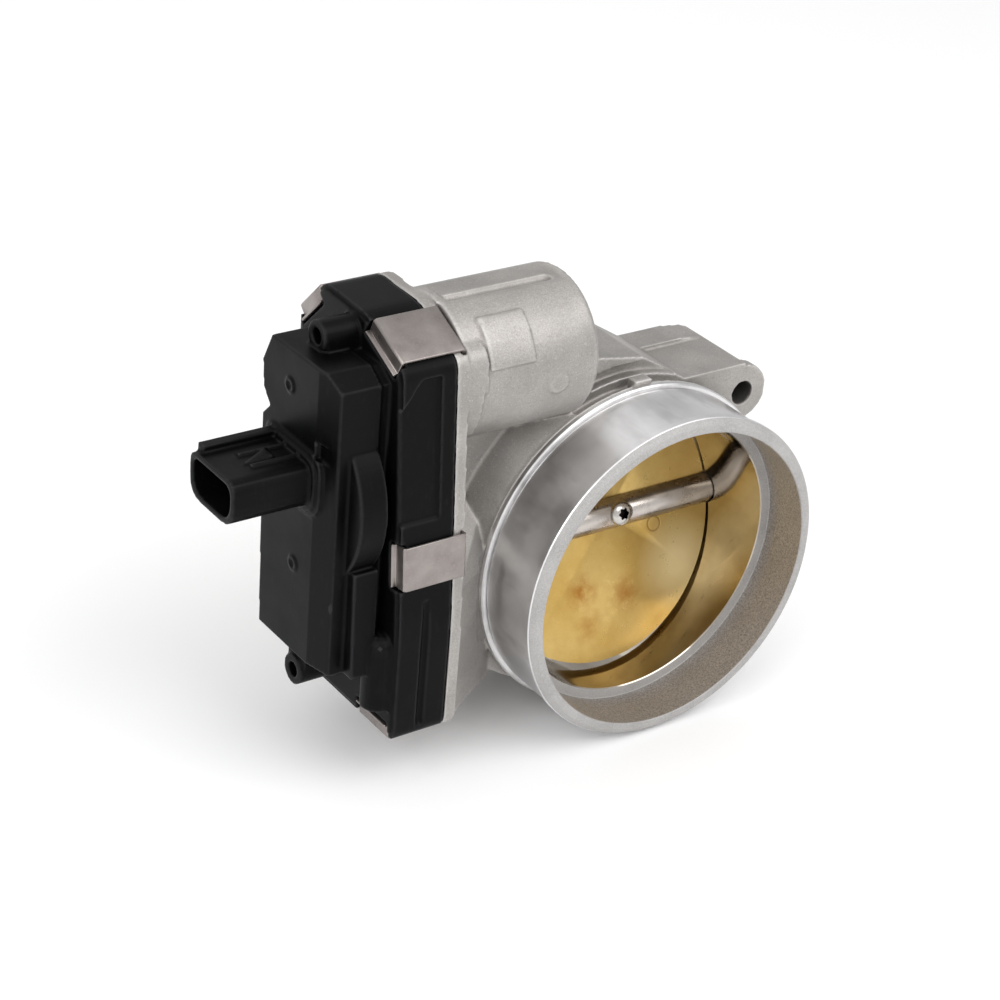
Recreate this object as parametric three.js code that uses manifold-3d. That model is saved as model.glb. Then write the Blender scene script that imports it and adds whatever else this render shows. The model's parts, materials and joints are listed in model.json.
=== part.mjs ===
// Electronic throttle body with an 87 mm bore: cast housing, clipped-on plastic gear cover,
// throttle plate on a cross shaft, motor, two-stage gear train and return spring.
//
// Millimetres. Origin: centre of the bore on the manifold mounting face. +Y runs along the bore
// towards the manifold, so the air inlet is at -Y. +X runs along the throttle shaft, away from
// the gear cover. +Z is up, on the motor side.
import * as THREE from 'three'
import { ConvexGeometry } from 'three/addons/geometries/ConvexGeometry.js'
import { mergeVertices } from 'three/addons/utils/BufferGeometryUtils.js'
import Module from 'manifold-3d'

const wasm = await Module()
wasm.setup()

// ---------------------------------------------------------------- driving dimensions
const GAP = 0.3 // clearance left between pieces that touch
const DEG = Math.PI / 180

const BORE_R = 43.5
const COUNTERBORE_R = 46.8
const RIM_Y = -61
const LEDGE_Y = -46
const TUBE_R = 50.3
const RIM_R = 51
const BASE_RING_Y = -36.2
const BARREL_R = 48.6

const SHAFT_Y = -19.2
const SHAFT_R = 5
const SHAFT_LEFT = -79.4
const SHAFT_RIGHT = 51.5
const REST_TILT = 19 * DEG // throttle plate from square across the bore, with no power

const FLANGE_THICK = 10
const BOLT_X = 44
const BOLT_Z = 36.8
const BOLT_HOLE_R = 3.6
const TAPPED_HOLE_R = 3.1
const TAPPED_HOLE_DEPTH = 14
const EAR_Y = -30
const EAR_R = 9
const EAR_BOSS_R = 8
const EAR_PAD_THICK = 4.5
const WEB_TOP_Z = 46.6

const MOTOR_Y = -22
const MOTOR_Z = 65.4
const MOTOR_HOUSING_R = 21.6
const MOTOR_HOUSING_END = -22.3
const MOTOR_CAN_R = 16.2
const MOTOR_CAN_LEFT = -73
const MOTOR_CAN_RIGHT = -27.5

const JOINT_X = -70 // plane where the cover meets the housing
const LIP_THICK = 3.5
const BEHIND_LIP = JOINT_X + LIP_THICK
const SKIRT_X = -87 // outer face of the cover's skirt
const BLOCK_X = -105 // outer face of the cover's raised block
const BLOCK_FOOT_X = -91 // where the raised block narrows to its foot on the skirt
const COVER_WALL = 2.5

const GEAR_MODULE = 1
const SECTOR_TEETH = 48
const SMALL_TEETH = 24
const LARGE_TEETH = 47
const PINION_TEETH = 12
const SECTOR_X = [-78, -73]
const LARGE_GEAR_X = [-84.5, -80]

const CONNECTOR_Y = -20
const CONNECTOR_Z = 42
const CONNECTOR_X = -130
const CONNECTOR_HALF_WIDTH = 11.6
const CONNECTOR_HALF_HEIGHT = 6.8

// ---------------------------------------------------------------- materials
const finishes = {
  castAluminium: [0xb5afa9, 0.55, 0.75],
  blackPlastic: [0x1b1b1c, 0.5, 0],
  springSteel: [0xb9b0a6, 0.32, 1],
  shaftSteel: [0x8d857c, 0.35, 1],
  brassPlate: [0xc3a050, 0.35, 0.9],
  zincSteel: [0xa5a29c, 0.4, 1],
  tinnedCopper: [0xcfc8b8, 0.3, 1],
  gearPlastic: [0xd8d2c0, 0.55, 0],
  rubber: [0x17181a, 0.8, 0],
  circuitBoard: [0x1f5a35, 0.5, 0],
  ferrite: [0x3a3a3c, 0.7, 0.2],
  bronze: [0xa9783f, 0.4, 1],
}

function finish(name) {
  const [color, roughness, metalness] = finishes[name]
  return new THREE.MeshStandardMaterial({ color, roughness, metalness })
}

// ---------------------------------------------------------------- solids
function solid(geometry) {
  const bare = geometry.clone()
  bare.deleteAttribute('normal')
  bare.deleteAttribute('uv')
  const merged = mergeVertices(bare, 1e-5)
  const vertProperties = new Float32Array(merged.attributes.position.array)
  const triVerts = new Uint32Array(merged.index.array)
  return new wasm.Manifold(new wasm.Mesh({ numProp: 3, vertProperties, triVerts }))
}

function geometryOf(body) {
  const { vertProperties, triVerts } = body.getMesh()
  const geometry = new THREE.BufferGeometry()
  geometry.setAttribute('position', new THREE.BufferAttribute(new Float32Array(vertProperties), 3))
  geometry.setIndex(new THREE.BufferAttribute(new Uint32Array(triVerts), 1))
  geometry.computeVertexNormals()
  return geometry
}

const part = new THREE.Group()

function addPiece(name, body, finishName) {
  const mesh = new THREE.Mesh(geometryOf(body), finish(finishName))
  mesh.name = name
  part.add(mesh)
}

function join(...bodies) {
  return bodies.reduce((sum, body) => sum.add(body))
}

function shapeOf(points) {
  return new THREE.Shape(points.map(([u, v]) => new THREE.Vector2(u, v)))
}

// A closed outline whose corners are rounded by the radius given as each point's third value.
function roundedShape(corners) {
  const shape = new THREE.Shape()
  corners.forEach(([u, v, radius = 0], i) => {
    const corner = new THREE.Vector2(u, v)
    const before = new THREE.Vector2(...corners.at(i - 1).slice(0, 2)).sub(corner)
    const after = new THREE.Vector2(...corners[(i + 1) % corners.length].slice(0, 2)).sub(corner)
    const start = corner.clone().addScaledVector(before.normalize(), radius)
    const end = corner.clone().addScaledVector(after.normalize(), radius)
    if (i === 0) shape.moveTo(start.x, start.y)
    else shape.lineTo(start.x, start.y)
    if (radius > 0) shape.quadraticCurveTo(corner.x, corner.y, end.x, end.y)
  })
  shape.closePath()
  return shape
}

function extruded(shape, length, curveSegments) {
  return new THREE.ExtrudeGeometry(shape, { depth: length, bevelEnabled: false, curveSegments })
}

// Outline in (y, z), swept along X from x0 to x1.
function alongX(shape, x0, x1, curveSegments = 4) {
  const geometry = extruded(shape, x1 - x0, curveSegments)
  const turn = new THREE.Matrix4().makeBasis(
    new THREE.Vector3(0, 1, 0),
    new THREE.Vector3(0, 0, 1),
    new THREE.Vector3(1, 0, 0),
  )
  return solid(geometry.applyMatrix4(turn).translate(x0, 0, 0))
}

// Outline in (x, z), swept along Y from y0 to y1.
function alongY(shape, y0, y1, curveSegments = 4) {
  const geometry = extruded(shape, y1 - y0, curveSegments)
  return solid(geometry.rotateX(Math.PI / 2).translate(0, y1, 0))
}

// Outline in (x, y), swept along Z from z0 to z1.
function alongZ(shape, z0, z1, curveSegments = 4) {
  return solid(extruded(shape, z1 - z0, curveSegments).translate(0, 0, z0))
}

function box(x0, x1, y0, y1, z0, z1) {
  const geometry = new THREE.BoxGeometry(x1 - x0, y1 - y0, z1 - z0)
  return solid(geometry.translate((x0 + x1) / 2, (y0 + y1) / 2, (z0 + z1) / 2))
}

// Smallest convex body round a few corners.
function wedge(corners) {
  return solid(new ConvexGeometry(corners.map((corner) => new THREE.Vector3(...corner))))
}

// Round bar parallel to X, centred on (y, z).
function barX(radius, x0, x1, y, z, sides = 32) {
  const geometry = new THREE.CylinderGeometry(radius, radius, x1 - x0, sides)
  return solid(geometry.rotateZ(Math.PI / 2).translate((x0 + x1) / 2, y, z))
}

// Round bar parallel to Y, centred on (x, z).
function barY(radius, y0, y1, x, z, sides = 32) {
  const geometry = new THREE.CylinderGeometry(radius, radius, y1 - y0, sides)
  return solid(geometry.translate(x, (y0 + y1) / 2, z))
}

function tubeX(outer, inner, x0, x1, y, z, sides = 32) {
  return barX(outer, x0, x1, y, z, sides).subtract(barX(inner, x0 - 1, x1 + 1, y, z, sides))
}

// Body of revolution about the bore axis, from a closed loop of (radius, y) points listed
// anticlockwise, with the radius to the right and y upwards.
function revolved(profile, sides) {
  const points = [...profile, profile[0]].map(([r, y]) => new THREE.Vector2(r, y))
  return solid(new THREE.LatheGeometry(points, sides))
}

// ---------------------------------------------------------------- throttle housing
const COVER_FRONT_Y = -49.5
const COVER_BACK_Y = 8.5
const COVER_BOTTOM_Z = -34.5
const COVER_TOP_Z = 86.7

// Outline in (y, z) shared by the cover's skirt and the housing's clamping lip. margin shrinks it.
function coverOutline(margin, round) {
  return roundedShape([
    [COVER_FRONT_Y + margin, COVER_BOTTOM_Z + margin, round],
    [-8, COVER_BOTTOM_Z + margin, round],
    [COVER_BACK_Y - margin, -18, round],
    [COVER_BACK_Y - margin, 74.6 - margin * 0.4, round],
    [-3.2 - margin * 0.4, COVER_TOP_Z - margin, round],
    [-24, COVER_TOP_Z - 0.6 - margin, round],
    [-43.6 + margin, 77.2 - margin, round],
    [COVER_FRONT_Y + margin, 0, round],
  ])
}

const CASE_RIGHT = -44
const CASE_STEP_Z = 7.4
const CASE_FACE_Y = -25
const CASE_APEX_Z = 24
const NOSE_LEFT_Y = -47.4
const NOSE_RIGHT_Y = -33.1
const MANIFOLD_FACE_CLEARANCE = 1

// Box behind the clamping lip that holds the gears. Its front slants back from the lip, and a
// steeper facet leads up from it to the flat face under the motor. A web joins its bottom corner to
// the inlet tube, and a thick corner stands behind the lip at the top.
function gearCase() {
  const left = BEHIND_LIP - 1
  const backY = -MANIFOLD_FACE_CLEARANCE
  const body = box(left, CASE_RIGHT, CASE_FACE_Y, backY, COVER_BOTTOM_Z, MOTOR_Z)
  const nose = alongZ(
    shapeOf([
      [left, NOSE_LEFT_Y],
      [CASE_RIGHT, NOSE_RIGHT_Y],
      [CASE_RIGHT, CASE_FACE_Y + 1],
      [left, CASE_FACE_Y + 1],
    ]),
    COVER_BOTTOM_Z,
    CASE_STEP_Z,
  )
  const facet = wedge([
    [left, NOSE_LEFT_Y, CASE_STEP_Z],
    [CASE_RIGHT, NOSE_RIGHT_Y, CASE_STEP_Z],
    [left, CASE_FACE_Y, CASE_APEX_Z + 2],
    [CASE_RIGHT, CASE_FACE_Y, CASE_APEX_Z - 2],
    [left, CASE_FACE_Y + 1, CASE_STEP_Z - 1],
    [CASE_RIGHT, CASE_FACE_Y + 1, CASE_STEP_Z - 1],
  ])
  const cornerWeb = alongY(
    shapeOf([[-46, -32], [-44, -32.4], [-38, -36.4], [-30.4, -40.1], [-24, -42], [-20, -30], [-46, -10]]),
    NOSE_RIGHT_Y - 0.4,
    backY,
  )
  const lip = alongX(coverOutline(0, 3), JOINT_X, BEHIND_LIP)
  const cornerBoss = alongX(coverOutline(0.1, 4), left, BEHIND_LIP + 6.5)
    .intersect(box(-80, -50, -60, -30, 66, 80))
  return join(body, nose, facet, cornerWeb, lip, cornerBoss)
}

// Round housing for the motor with a flat and a slot along its top, a raised pad and a round mark
// on its front, and a gusset that slopes from its end down to the flange.
function motorHousing() {
  const chamfer = 1.2
  const shell = join(
    barX(MOTOR_HOUSING_R, BEHIND_LIP, MOTOR_HOUSING_END - chamfer, MOTOR_Y, MOTOR_Z, 64),
    barX(MOTOR_HOUSING_R - chamfer * 0.6, BEHIND_LIP, MOTOR_HOUSING_END, MOTOR_Y, MOTOR_Z, 64),
  )
  const backY = -MANIFOLD_FACE_CLEARANCE
  const web = box(BEHIND_LIP - 1, MOTOR_HOUSING_END, CASE_FACE_Y, backY, 14, MOTOR_Z)
  const fillet = alongX(
    shapeOf([
      [CASE_FACE_Y - 2, 43.2],
      [CASE_FACE_Y + 8, 43.2],
      [CASE_FACE_Y + 8, 56],
      [-35, 56],
      [-37.4, 53.4],
      [-30, 49.6],
    ]),
    BEHIND_LIP - 1,
    MOTOR_HOUSING_END,
  )
  const top = MOTOR_Z + MOTOR_HOUSING_R
  const topFlat = box(JOINT_X + 6, MOTOR_HOUSING_END - 2.5, MOTOR_Y - 7, MOTOR_Y + 7, top - 0.9, 100)
  const slotOutline = roundedShape([
    [JOINT_X + 7, MOTOR_Y - 4.6, 0.6],
    [MOTOR_HOUSING_END - 6, MOTOR_Y - 4.6, 1.5],
    [MOTOR_HOUSING_END - 6, MOTOR_Y - 1.2, 1.5],
    [JOINT_X + 7, MOTOR_Y - 1.2, 0.6],
  ])
  const topSlot = alongZ(slotOutline, top - 2.2, 100)
  const padZone = box(-59, -44.5, -7.4, 7.4, 0, MOTOR_HOUSING_R + 2)
    .rotate([54, 0, 0])
    .translate([0, MOTOR_Y, MOTOR_Z])
  const pad = barX(MOTOR_HOUSING_R + 1.2, -59, -44.5, MOTOR_Y, MOTOR_Z, 64).intersect(padZone)
  const collar = barX(MOTOR_HOUSING_R + 1, BEHIND_LIP, BEHIND_LIP + 5, MOTOR_Y, MOTOR_Z, 64)
    .intersect(box(-80, -50, -60, -30, 52, 76))
  const ejectorMark = barY(3, MOTOR_Y - MOTOR_HOUSING_R - 0.35, MOTOR_Y, -36, MOTOR_Z - 2, 24)
  const endX = MOTOR_HOUSING_END - 1
  const gusset = wedge(
    [EAR_Y, backY].flatMap((y) => [[endX, y, 62], [4, y, 57], [22, y, 46], [endX, y, 44]]),
  )
  return join(shell, web, fillet, pad, collar, ejectorMark, gusset).subtract(join(topFlat, topSlot))
}

function inletAndBarrel() {
  const ringBack = BASE_RING_Y + 1.8
  const tube = revolved(
    [
      [COUNTERBORE_R, RIM_Y + 0.7],
      [COUNTERBORE_R + 0.7, RIM_Y],
      [RIM_R - 1.8, RIM_Y],
      [RIM_R, RIM_Y + 1.8],
      [RIM_R, RIM_Y + 3.4],
      [TUBE_R, RIM_Y + 4.2],
      [TUBE_R, BASE_RING_Y - 1.4],
      [RIM_R + 0.6, BASE_RING_Y - 0.4],
      [RIM_R + 0.6, ringBack - 0.4],
      [BARREL_R + 1.2, ringBack],
      [BARREL_R, ringBack + 1],
      [BARREL_R, -1],
      [BORE_R, -1],
      [BORE_R, LEDGE_Y],
      [COUNTERBORE_R, LEDGE_Y],
    ],
    64,
  )
  const flare = revolved(
    [
      [BORE_R + 1, BASE_RING_Y],
      [RIM_R, BASE_RING_Y],
      [56.9, CASE_FACE_Y],
      [56.9, CASE_FACE_Y + 4],
      [BORE_R + 1, CASE_FACE_Y + 4],
    ],
    64,
  )
  const flareZone = box(-51, MOTOR_HOUSING_END, -60, 0, -10, 60)
  return join(tube, flare.intersect(flareZone))
}

const boltHeights = [BOLT_Z, -BOLT_Z]

// Plate against the manifold. Ears carry the bolts forward on the side away from the gears; on
// the gear side the bolts screw in from behind.
function mountingFlange() {
  const edgeX = BOLT_X + EAR_R
  const edgeZ = BOLT_Z + 11.2
  const plate = alongY(
    roundedShape([
      [-edgeX, -edgeZ + 4, 22],
      [edgeX - 1, -edgeZ, 17],
      [edgeX - 1, edgeZ, 17],
      [-edgeX, edgeZ, 12],
    ]),
    -FLANGE_THICK,
    0,
  )
  const ears = boltHeights.flatMap((z) => [
    barY(EAR_BOSS_R, EAR_Y, -1, BOLT_X, z),
    barY(EAR_R, EAR_Y, EAR_Y + EAR_PAD_THICK, BOLT_X, z),
  ])
  const webs = boltHeights.map((z) => {
    const angle = Math.atan2(z, BOLT_X) / DEG
    return box(30, Math.hypot(BOLT_X, z), EAR_Y, -1, -EAR_BOSS_R, EAR_BOSS_R).rotate([0, -angle, 0])
  })
  const topDeck = box(MOTOR_HOUSING_END - 2, BOLT_X, EAR_Y, -1, 38, WEB_TOP_Z)
  const lowDeck = box(0, BOLT_X, EAR_Y, -1, -WEB_TOP_Z, -38)
  return join(plate, ...ears, ...webs, topDeck, lowDeck)
}

// Shallow arc-shaped pocket in the top deck, next to the inlet's base ring.
function deckPocket() {
  const [inner, outer] = [RIM_R + 0.7, RIM_R + 5]
  const ring = revolved([[inner, EAR_Y - 2], [outer, EAR_Y - 2], [outer, EAR_Y + 3], [inner, EAR_Y + 3]], 64)
  return ring.intersect(box(-14, 17, EAR_Y - 1, EAR_Y + 4, 30, 70))
}

function boltHoles() {
  return boltHeights.flatMap((z) => [
    barY(BOLT_HOLE_R, EAR_Y - 2, 2, BOLT_X, z, 24),
    barY(TAPPED_HOLE_R, -TAPPED_HOLE_DEPTH, 2, -BOLT_X, z, 20),
  ])
}

const BEARING_R = 7
const LEFT_BEARING_X = [-57, -47]
const RIGHT_BEARING_X = [44.5, 51.5]
const SPRING_POCKET_R = 15.5
const SPRING_POCKET_FLOOR = -59.5
const SPRING_GUIDE_R = 9.4
const IDLER = idlerCentre()
const IDLER_PIN_R = 2.2
const SEAL_INSET = 0.9
const SEAL_WIDTH = 1.3

// The idler shaft sits where both of its gears mesh: a circle about the throttle shaft meets
// a circle about the motor shaft, on the side nearer the manifold.
function idlerCentre() {
  const toShaft = (GEAR_MODULE * (SECTOR_TEETH + SMALL_TEETH)) / 2
  const toMotor = (GEAR_MODULE * (LARGE_TEETH + PINION_TEETH)) / 2 + 0.1
  const dy = MOTOR_Y - SHAFT_Y
  const span = Math.hypot(dy, MOTOR_Z)
  const along = (toShaft ** 2 - toMotor ** 2 + span ** 2) / (2 * span)
  const across = Math.sqrt(Math.max(toShaft ** 2 - along ** 2, 0))
  return {
    y: SHAFT_Y + (along * dy + across * MOTOR_Z) / span,
    z: (along * MOTOR_Z - across * dy) / span,
  }
}

function ringLugs() {
  const lug = box(-3, 3, BASE_RING_Y - 1.2, BASE_RING_Y + 3.6, RIM_R - 2, RIM_R + 2.4)
  return [0, 90, 217].map((turn) => lug.rotate([0, -turn, 0]))
}

function sealLoop(extra) {
  const outer = alongX(coverOutline(SEAL_INSET - extra, 3), JOINT_X - 1, JOINT_X + 1)
  const inner = alongX(coverOutline(SEAL_INSET + SEAL_WIDTH + extra, 3), JOINT_X - 2, JOINT_X + 2)
  return outer.subtract(inner)
}

function throttleHousing() {
  const bossX = 54
  const rightBoss = barX(10.5, 40, bossX, SHAFT_Y, 0)
  const casting = join(
    inletAndBarrel(),
    gearCase(),
    motorHousing(),
    mountingFlange(),
    rightBoss,
    barX(12, CASE_RIGHT - 3, -30, SHAFT_Y, 0),
    ...ringLugs(),
  )
  const cuts = join(
    revolved([[0, LEDGE_Y - 1], [BORE_R, LEDGE_Y - 1], [BORE_R, 2], [0, 2]], 64),
    revolved([[0, RIM_Y - 2], [COUNTERBORE_R, RIM_Y - 2], [COUNTERBORE_R, LEDGE_Y], [0, LEDGE_Y]], 64),
    ...boltHoles(),
    deckPocket(),
    barX(SHAFT_R + GAP, JOINT_X - 2, bossX + 1, SHAFT_Y, 0),
    barX(BEARING_R + GAP, SPRING_POCKET_FLOOR - 4, LEFT_BEARING_X[1] + GAP, SHAFT_Y, 0),
    barX(BEARING_R + GAP, RIGHT_BEARING_X[0] - GAP, bossX + 1, SHAFT_Y, 0),
    tubeX(SPRING_POCKET_R, SPRING_GUIDE_R, JOINT_X - 2, SPRING_POCKET_FLOOR, SHAFT_Y, 0),
    barX(SPRING_GUIDE_R + 1, JOINT_X - 2, JOINT_X + 2, SHAFT_Y, 0),
    barX(MOTOR_CAN_R + 0.5, JOINT_X - 2, MOTOR_CAN_RIGHT + 1.2, MOTOR_Y, MOTOR_Z, 40),
    barX(IDLER_PIN_R + GAP, JOINT_X - 2, JOINT_X + 9, IDLER.y, IDLER.z, 20),
    barX(1.8, JOINT_X - 2, JOINT_X + 8, SHAFT_Y + 21, -16, 16),
    ...motorScrewPlaces().map(([y, z]) => barX(MOTOR_SCREW_R + GAP, JOINT_X - 1, JOINT_X + 8, y, z, 12)),
    ...Object.values(clips).map((place) => hookSlot(...place)),
    sealLoop(GAP),
  )
  return casting.subtract(cuts)
}

// ---------------------------------------------------------------- gear cover
const BUMP_BOTTOM_Z = -25
const TOP_BOSS = { y: -19, z: 79.8, end: -99, radius: 4.4 }
const LOW_BOSS = { y: -16, z: -25.4, end: -100, radius: 4.6 }

function blockOutline(margin) {
  return shapeOf([
    [-39.5 + margin, -13.5 + margin],
    [-4.8 - margin, -13.5 + margin],
    [-3 - margin, 51.5 + margin],
    [-6.8 - margin * 1.4, 55.5],
    [-3.2 - margin, 59.5 - margin],
    [-2.4 - margin, 67.6 - margin * 0.5],
    [-6.7 - margin * 0.6, 76.4 - margin],
    [-33.7 + margin * 0.4, 76.4 - margin],
    [-39.5 + margin, 72.6 - margin * 0.5],
  ])
}

function connectorShell(outer) {
  const grow = outer ? 0 : -1.5
  const w = CONNECTOR_HALF_WIDTH + grow
  const h = CONNECTOR_HALF_HEIGHT + grow
  const shape = roundedShape([[-w, -h, 6], [w, -h, 6], [w, h, 3.4], [-w, h, 3.4]])
  const x1 = outer ? BLOCK_X + 1 : BLOCK_X - 4
  const x0 = outer ? CONNECTOR_X : CONNECTOR_X - 1
  return alongX(shape, x0, x1).translate([0, CONNECTOR_Y, CONNECTOR_Z])
}

function connector() {
  const ribTop = CONNECTOR_Z + CONNECTOR_HALF_HEIGHT
  const rail = box(CONNECTOR_X + 1.6, BLOCK_X + 1, -12.5, -9.6, ribTop - 3, ribTop + 2.1)
  const ribs = [-25.5, -18.5].map((y) => (
    box(CONNECTOR_X + 9, BLOCK_X + 1, y, y + 1.2, ribTop - 1, ribTop + 0.8)
  ))
  const latch = alongZ(shapeOf([[-122, -23], [-113, -18], [-113, -23]]), ribTop - 1, ribTop + 1)
  const collars = [[1.6, BLOCK_X - 1.6], [2.8, BLOCK_X - 0.7]].map(([grow, x]) => {
    const w = CONNECTOR_HALF_WIDTH + grow
    const h = CONNECTOR_HALF_HEIGHT + grow
    const ring = roundedShape([[-w, -h, 7], [w, -h, 7], [w, h, 5], [-w, h, 5]])
    return alongX(ring, x, BLOCK_X + 1).translate([0, CONNECTOR_Y, CONNECTOR_Z])
  })
  return join(connectorShell(true), rail, latch, ...ribs, ...collars)
}

// Round bulge over the large gear, on the front of the block.
function coverBulge(left, radius) {
  return barX(radius, left, BLOCK_FOOT_X, IDLER.y, IDLER.z, 96)
    .intersect(box(left - 1, BLOCK_FOOT_X + 1, -50, -20, 17, 60))
}

// Half-round housing over the shaft's stop, closed by a quarter ball at the top.
function stopBump() {
  const radius = 5
  const [x, y, top] = [SKIRT_X - 1.4, -42.5, -6.4]
  const post = new THREE.CylinderGeometry(radius, radius, top - BUMP_BOTTOM_Z, 24)
  post.rotateX(Math.PI / 2).translate(x, y, (top + BUMP_BOTTOM_Z) / 2)
  const ball = new THREE.SphereGeometry(radius, 24, 12).rotateX(Math.PI / 2).translate(x, y, top)
  return join(solid(post), solid(ball)).intersect(box(-110, SKIRT_X + 1, -60, 0, -60, 60))
}

function screwBoss({ y, z, end, radius }, foot) {
  const [low, high] = [z, foot].sort((a, b) => a - b)
  return join(
    barX(radius, end, SKIRT_X + 1, y, z, 24),
    box(end + 1, SKIRT_X + 1, y - radius, y + radius, low, high),
  )
}

function gearCover() {
  const jointX = JOINT_X - GAP
  const skirt = alongX(coverOutline(0, 3), SKIRT_X, jointX)
  const rim = alongX(coverOutline(1.4, 3), SKIRT_X - 0.6, jointX)
  const block = alongX(blockOutline(0), BLOCK_X, BLOCK_FOOT_X)
  const blockCrease = wedge([
    [BLOCK_X - 1, -26.5, -40],
    [BLOCK_X + 3, -45, -40],
    [BLOCK_X - 1, -45, -40],
    [BLOCK_X - 1, -26.5, 100],
    [BLOCK_X + 3, -45, 100],
    [BLOCK_X - 1, -45, 100],
  ])
  const foot = alongX(blockOutline(0.7), BLOCK_FOOT_X - 1, SKIRT_X + 1)
  const shoulder = alongX(
    shapeOf([[-44, -13.5], [-5, -13.5], [-5, 19], [-43, 19]]),
    BLOCK_X + 6.5,
    BLOCK_FOOT_X,
  )
  const shell = join(
    skirt,
    rim,
    block.subtract(blockCrease),
    foot,
    shoulder,
    stopBump(),
    screwBoss(TOP_BOSS, 70),
    screwBoss(LOW_BOSS, -12),
    coverBulge(BLOCK_X + 5.6, 27.7),
    connector(),
  )
  const floorX = SKIRT_X + COVER_WALL - 0.6
  const panelDepth = alongX(
    shapeOf([[-60, 33], [-46, 33], [-42.6, 74], [-60, 74]]),
    SKIRT_X - 2,
    JOINT_X - 5,
  )
  const keptSkin = alongX(shapeOf([[-45.4, 27], [-40, 27], [-40, 80], [-42, 80]]), SKIRT_X - 2, JOINT_X)
  const panelEdge = alongY(
    shapeOf([[SKIRT_X - 2, 30], [JOINT_X, 30], [JOINT_X, 80], [SKIRT_X + 6, 74], [SKIRT_X - 2, 64]]),
    -60,
    -30,
  )
  const frontPanel = panelDepth.subtract(keptSkin).intersect(panelEdge)
  const lowerGroove = box(-79.6, -77.4, -60, COVER_FRONT_Y + 1, -31, 9)
  const pocket = box(BLOCK_X - 1, BLOCK_X + 1.4, -37.2, -31, 50.4, 55.4)
  const cavity = join(
    alongX(coverOutline(COVER_WALL, 2.5), floorX, jointX + 1),
    alongX(blockOutline(COVER_WALL), BLOCK_X + COVER_WALL, floorX + 1),
    connectorShell(false).intersect(box(CONNECTOR_X - 2, BLOCK_X - 3.5, -60, 20, 0, 90)),
  )
  const pinHoles = pinPlaces().map(([y, z]) => (
    box(BLOCK_X - 8, BLOCK_X + 8, y - 0.7, y + 0.7, z - 0.7, z + 0.7)
  ))
  const screwHoles = [TOP_BOSS, LOW_BOSS].map(({ y, z, end }) => barX(2.3, end - 1, SKIRT_X - 1, y, z, 20))
  const clipPockets = Object.values(clips).map((place) => clipPocket(...place))
  const holes = join(frontPanel, lowerGroove, pocket, cavity, ...pinHoles, ...screwHoles, ...clipPockets)
  return shell.subtract(holes)
}

// ---------------------------------------------------------------- connector pins
const PIN_COUNT = 6
const PIN_HALF = 0.4

function pinPlaces() {
  const pitch = 6
  return Array.from({ length: PIN_COUNT }, (_, i) => {
    const column = (i % 3) - 1
    const row = i < 3 ? 1.9 : -1.9
    return [CONNECTOR_Y + column * pitch, CONNECTOR_Z + row]
  })
}

const BOARD_X = [-99.5, -97.9]

function connectorPin([y, z]) {
  return box(CONNECTOR_X + 9, BOARD_X[0] - GAP, y - PIN_HALF, y + PIN_HALF, z - PIN_HALF, z + PIN_HALF)
}

// ---------------------------------------------------------------- cover clips
const CLIP_THICK = 0.9

const CLIP_LEFT = SKIRT_X + 1.3
const CLIP_RIGHT = BEHIND_LIP - CLIP_THICK
const CLIP_LEG = 4

// C-shaped spring strip: it spans the joint and folds over the cover's rim and the housing's lip.
// Drawn lying on a flat top at height 0, then turned and moved onto its side of the outline.
function clip(width, y, z, turn) {
  const base = GAP
  const outline = shapeOf([
    [CLIP_LEFT - CLIP_THICK, base + CLIP_THICK - 0.7],
    [CLIP_LEFT - CLIP_THICK + 0.7, base + CLIP_THICK],
    [CLIP_RIGHT + CLIP_THICK - 0.5, base + CLIP_THICK],
    [CLIP_RIGHT + CLIP_THICK, base + CLIP_THICK - 0.5],
    [CLIP_RIGHT + CLIP_THICK, -1.7],
    [CLIP_RIGHT, -1.7],
    [CLIP_RIGHT, base],
    [CLIP_LEFT, base],
    [CLIP_LEFT, 0.6 - CLIP_LEG],
    [CLIP_LEFT - 0.5, -CLIP_LEG],
    [CLIP_LEFT - 2.1, -CLIP_LEG],
    [CLIP_LEFT - 2.3, 0.7 - CLIP_LEG],
    [CLIP_LEFT - CLIP_THICK, 0.9 - CLIP_LEG],
  ])
  return placed(alongY(outline, -width / 2, width / 2), y, z, turn)
}

function placed(body, y, z, turn) {
  return body.rotate([turn, 0, 0]).translate([0, y, z])
}

// Room behind the housing's lip for the clip's hook.
function hookSlot(width, y, z, turn) {
  const half = width / 2 + 0.6
  const [left, right] = [CLIP_RIGHT - GAP, BEHIND_LIP + 2 * GAP]
  return placed(box(left, right, -half, half, -2.2, 6), y, z, turn)
}

// Notch in the cover's rim where the clip's sprung end lies.
function clipPocket(width, y, z, turn) {
  const half = width / 2 + 0.6
  return placed(box(SKIRT_X - 4, CLIP_LEFT + GAP, -half, half, -CLIP_LEG - 0.7, 6), y, z, turn)
}

const TOP_FRONT_ANGLE = Math.atan2(8.9, 19.6) / DEG
const TOP_FRONT_PLACE = [-34, 81.56]
const TOP_BACK_ANGLE = -Math.atan2(12, 11.7) / DEG
const FRONT_ANGLE = 90 - Math.atan2(5.9, 77.2) / DEG
const FRONT_PLACE = [COVER_FRONT_Y + (5.9 * 20.4) / 77.2, 20.4]

const clips = {
  cover_clip_top_front: [16, ...TOP_FRONT_PLACE, TOP_FRONT_ANGLE],
  cover_clip_top_back: [13, 4.6, 78.6, TOP_BACK_ANGLE],
  cover_clip_front: [13, ...FRONT_PLACE, FRONT_ANGLE],
  cover_clip_bottom: [15, -38.6, COVER_BOTTOM_Z, 180],
  cover_clip_back_upper: [13, COVER_BACK_Y, 46, -90],
  cover_clip_back_lower: [13, COVER_BACK_Y, 2, -90],
}

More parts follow.
